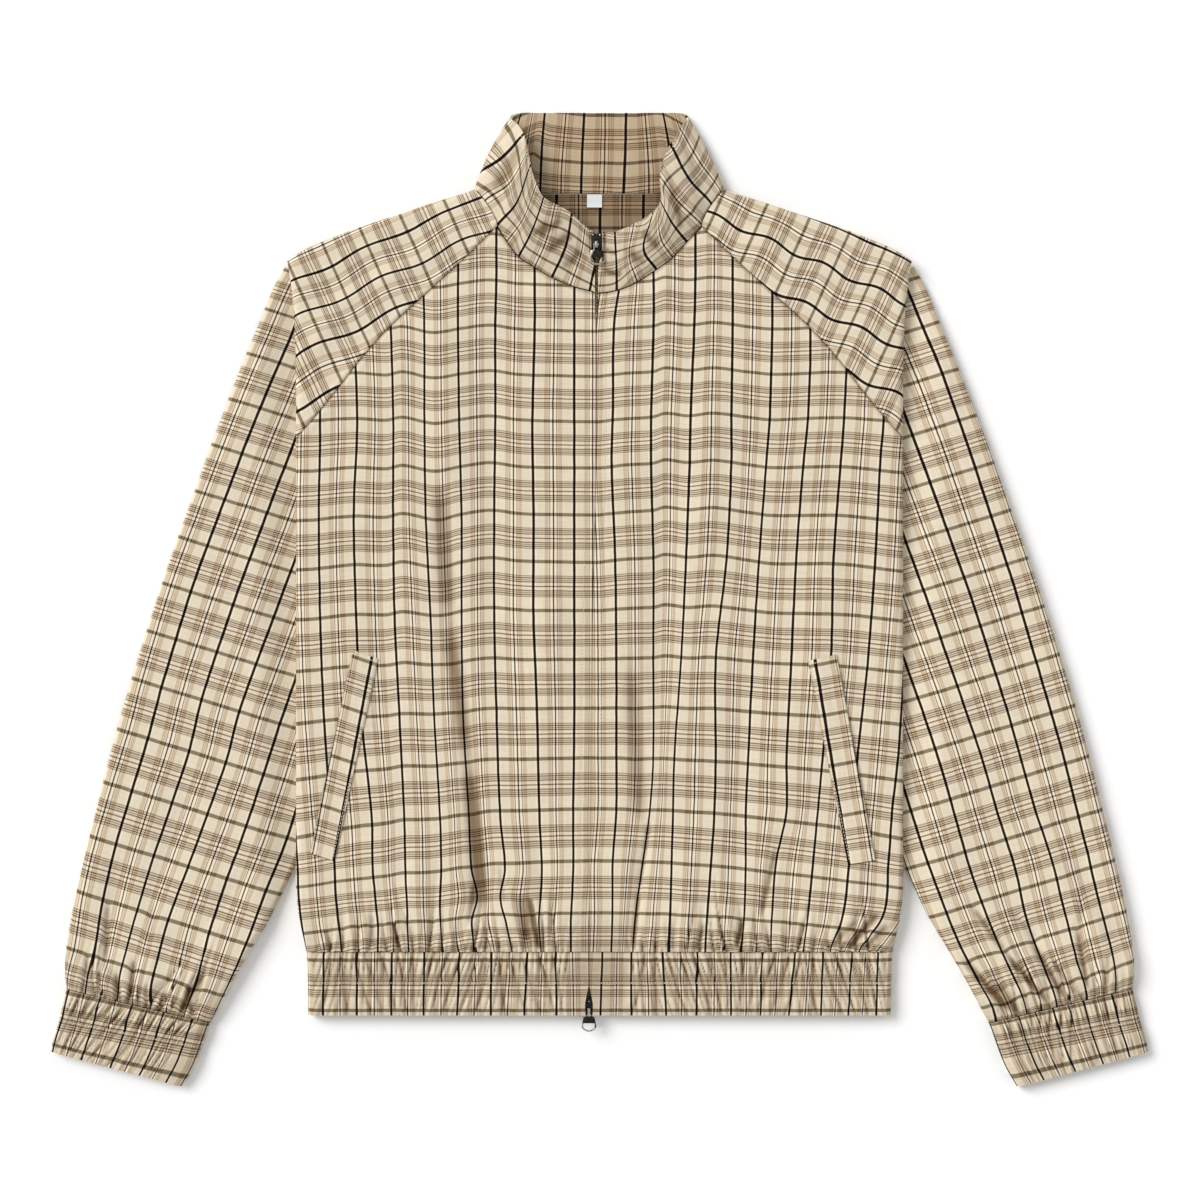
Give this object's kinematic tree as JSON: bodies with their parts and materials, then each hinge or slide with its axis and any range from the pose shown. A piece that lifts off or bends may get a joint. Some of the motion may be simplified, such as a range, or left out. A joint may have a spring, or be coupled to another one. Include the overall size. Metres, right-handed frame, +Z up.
{
  "type": "track jacket",
  "caption": "Zip-front track jacket with raglan sleeves, stand collar and gathered hem and cuffs, laid flat on its back with its sleeves down its sides.",
  "frame": {"origin": "on the floor, under the middle of the laid jacket", "axes": "+X towards the wearer's left sleeve, +Y towards the collar, +Z up from the floor, out of the jacket's front"},
  "size_m": [0.92, 0.8162, 0.0266],
  "materials": {
    "cloth": "matt checked shirting, beige ground",
    "label": "bare woven label",
    "tape": "dark woven zip tape with its chain",
    "zip_metal": "dark gunmetal plating"
  },
  "bodies": {
    "jacket": {"front_right": "cloth", "front_left": "cloth", "back_panel": "cloth", "hem_band": "cloth", "collar": "cloth", "sleeve_right_shoulder": "cloth", "sleeve_right_arm": "cloth", "cuff_right": "cloth", "sleeve_left_shoulder": "cloth", "sleeve_left_arm": "cloth", "cuff_left": "cloth", "pocket_welt_right": "cloth", "pocket_welt_left": "cloth", "size_label": "label", "zip_tape": "tape", "zip_slider_top": "zip_metal", "zip_slider_bottom": "zip_metal"},
    "pull_top": {"zip_pull_top": "zip_metal"},
    "pull_bottom": {"zip_pull_bottom": "zip_metal"}
  },
  "joints": [
    {"name": "pull_top_swing", "type": "hinge", "parent": "jacket", "child": "pull_top", "pos_m": [-0.0026, 0.2951, 0.0209], "axis": [-1, 0, 0], "range_deg": [0, 150]},
    {"name": "pull_bottom_swing", "type": "hinge", "parent": "jacket", "child": "pull_bottom", "pos_m": [-0.0088, -0.3446, 0.0118], "axis": [-1, 0, 0], "range_deg": [0, 150]}
  ]
}
